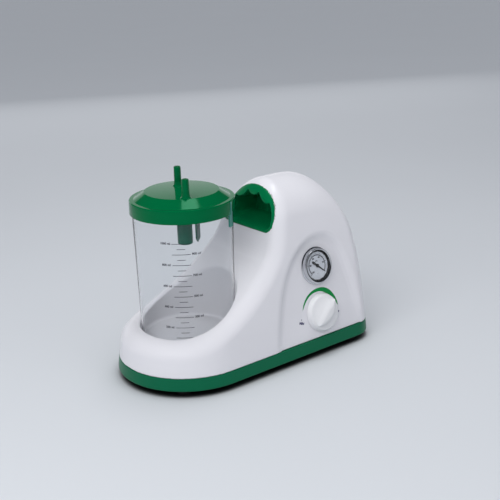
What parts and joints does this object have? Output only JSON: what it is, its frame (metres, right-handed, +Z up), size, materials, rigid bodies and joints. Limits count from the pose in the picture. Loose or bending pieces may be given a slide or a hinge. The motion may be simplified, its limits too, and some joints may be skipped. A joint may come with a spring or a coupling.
{
  "type": "suction pump",
  "caption": "Portable ward suction unit: glossy white housing, clear graduated jar with green lid in a round well, handle pocket, vacuum gauge and regulator knob on a green tray.",
  "frame": {"origin": "middle of the bounding box, on the surface that the feet stand on", "axes": "+Z up, -X towards the jar end, -Y towards the control panel"},
  "size_m": [0.3066, 0.1738, 0.2311],
  "materials": {
    "white_plastic": "moulded, high gloss",
    "green_plastic": "moulded, semi-gloss",
    "clear_plastic": "clear, polished",
    "rubber": "matt",
    "black_plastic": "moulded, satin",
    "chrome": "polished",
    "steel": "satin",
    "brass": "turned",
    "copper_wire": "enamelled windings",
    "cast_alloy": "as cast",
    "dial_face": "matt print",
    "fitting_white": "moulded, satin",
    "hose_silicone": "smooth"
  },
  "bodies": {
    "housing": {"housing_shell": "white_plastic", "base_tray": "green_plastic", "handle_pocket": "green_plastic", "vacuum_nozzle": "green_plastic", "gauge_lens": "clear_plastic", "foot_front_near": "rubber", "foot_front_far": "rubber", "foot_rear_near": "rubber", "foot_rear_far": "rubber", "pump_mount_front_near": "rubber", "pump_mount_front_far": "rubber", "pump_mount_rear_near": "rubber", "pump_mount_rear_far": "rubber", "gauge_case": "black_plastic", "power_inlet": "black_plastic", "fuse_holder": "black_plastic", "switch_frame": "black_plastic", "gauge_bezel": "chrome", "tray_screw_front_near": "steel", "tray_screw_front_far": "steel", "tray_screw_rear_near": "steel", "tray_screw_rear_far": "steel", "regulator_nut": "steel", "stator_stack": "steel", "bearing_front": "steel", "bearing_rear": "steel", "pump_cylinder": "steel", "pump_frame": "steel", "gauge_movement": "brass", "regulator_valve": "brass", "winding_front": "copper_wire", "winding_rear": "copper_wire", "end_bell_front": "cast_alloy", "end_bell_rear": "cast_alloy", "crankcase": "cast_alloy", "pump_head": "cast_alloy", "exhaust_muffler": "cast_alloy", "gauge_dial": "dial_face", "run_capacitor": "fitting_white", "terminal_block": "fitting_white", "suction_hose": "hose_silicone", "gauge_hose": "hose_silicone", "nozzle_hose": "hose_silicone", "exhaust_hose": "hose_silicone"},
    "jar": {"collection_jar": "clear_plastic"},
    "lid": {"jar_lid": "green_plastic", "lid_gasket": "rubber", "float_cage": "green_plastic"},
    "float": {"float_ball": "white_plastic"},
    "knob": {"regulator_knob": "white_plastic", "regulator_spindle": "steel"},
    "needle": {"gauge_needle": "black_plastic"},
    "rocker": {"switch_rocker": "black_plastic"},
    "fuse": {"fuse_cap": "black_plastic"},
    "rotor": {"motor_shaft": "steel", "rotor_core": "steel", "cooling_fan": "black_plastic", "crank_eccentric": "steel"},
    "plunger": {"connecting_rod": "cast_alloy", "piston": "black_plastic"}
  },
  "joints": [
    {"name": "jar_lift", "type": "slide", "parent": "housing", "child": "jar", "axis": [0, 0, 1], "range_m": [0, 0.1]},
    {"name": "lid_lift", "type": "slide", "parent": "jar", "child": "lid", "axis": [0, 0, 1], "range_m": [0, 0.06]},
    {"name": "float_rise", "type": "slide", "parent": "lid", "child": "float", "axis": [0, 0, 1], "range_m": [0, 0.024]},
    {"name": "knob_turn", "type": "hinge", "parent": "housing", "child": "knob", "pos_m": [0.06838, -0.06931, 0.04971], "axis": [0, -0.9766, 0.2149], "range_deg": [-245, 25]},
    {"name": "needle_swing", "type": "hinge", "parent": "housing", "child": "needle", "pos_m": [0.07038, -0.05756, 0.10405], "axis": [0, -0.9766, 0.2149], "range_deg": [0, 262], "stiffness_Nm_per_rad": 0.0002},
    {"name": "rocker_tip", "type": "hinge", "parent": "housing", "child": "rocker", "pos_m": [0.14452, 0.03418, 0.05003], "axis": [0, 1, 0], "range_deg": [-19.4, 0]},
    {"name": "fuse_twist", "type": "hinge", "parent": "housing", "child": "fuse", "pos_m": [0.14651, 0.00818, 0.0502], "axis": [0.9964, 0, 0.0847], "range_deg": [0, 90]},
    {"name": "motor_spin", "type": "hinge", "parent": "housing", "child": "rotor", "pos_m": [0.01438, 0.02018, 0.057], "axis": [1, 0, 0], "continuous": true},
    {"name": "piston_stroke", "type": "slide", "parent": "housing", "child": "plunger", "axis": [0, 0, 1], "range_m": [-0.0025, 0.0025]}
  ]
}
